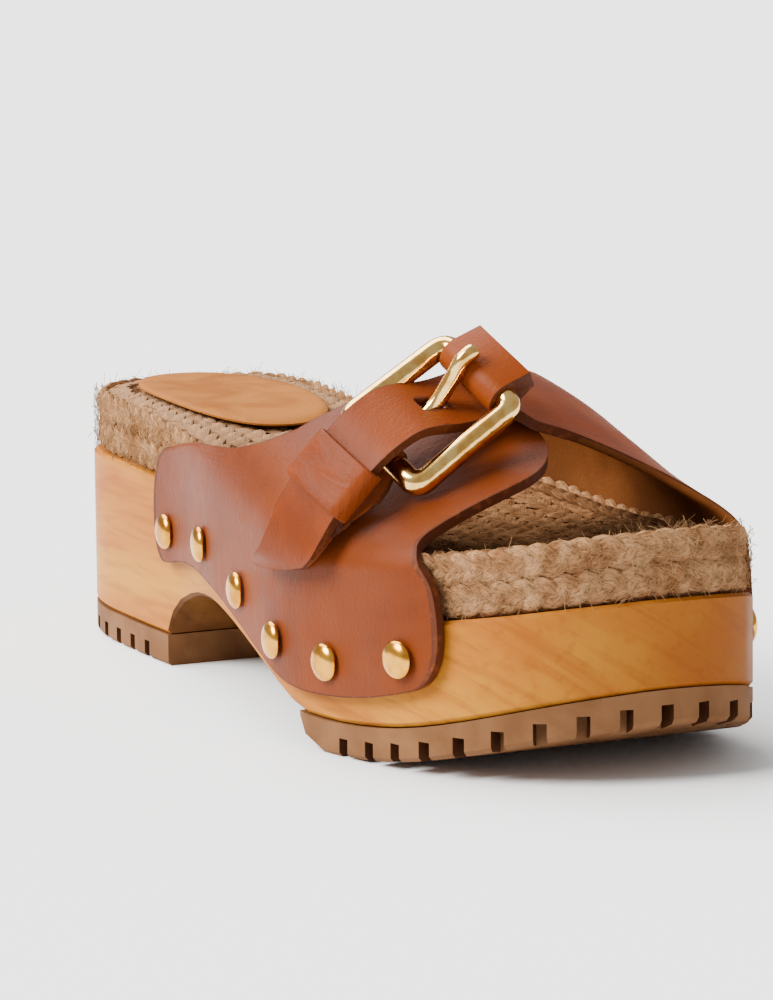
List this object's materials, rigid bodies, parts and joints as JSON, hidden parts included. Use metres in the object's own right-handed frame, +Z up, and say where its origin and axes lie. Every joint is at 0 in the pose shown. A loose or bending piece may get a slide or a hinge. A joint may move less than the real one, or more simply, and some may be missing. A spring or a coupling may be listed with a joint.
{
  "type": "wooden sole sandal",
  "caption": "Right wooden sole mule sandal with a jute footbed, riveted leather upper panels and an instep strap closed by a metal buckle.",
  "frame": {"origin": "on the floor under the centre of the box that holds the whole shoe", "axes": "+Z up, toe toward -Y, heel toward +Y, inner (big toe) side toward +X, buckle side toward -X"},
  "size_m": [0.1046, 0.25, 0.0943],
  "materials": {
    "wood": "clear satin varnish",
    "rubber": "matt",
    "jute": "plaited natural fibre",
    "insole_leather": "smooth matt",
    "leather": "waxed vegetable-tanned look, dark edges",
    "brass": "polished"
  },
  "bodies": {
    "root": {"wood_sole": "wood", "outsole_forefoot": "rubber", "outsole_heel": "rubber", "jute_midsole": "jute", "insole_pad": "insole_leather", "upper_outer_panel": "leather", "upper_inner_panel": "leather", "chape_strip": "leather", "keeper_loop": "leather", "buckle_tab": "leather", "buckle_frame": "brass", "buckle_prong": "brass", "rivet_outer_1": "brass", "rivet_outer_2": "brass", "rivet_outer_3": "brass", "rivet_outer_4": "brass", "rivet_outer_5": "brass", "rivet_outer_6": "brass", "rivet_inner_1": "brass", "rivet_inner_2": "brass", "rivet_inner_3": "brass", "rivet_inner_4": "brass", "rivet_inner_5": "brass", "rivet_inner_6": "brass"}
  },
  "joints": []
}
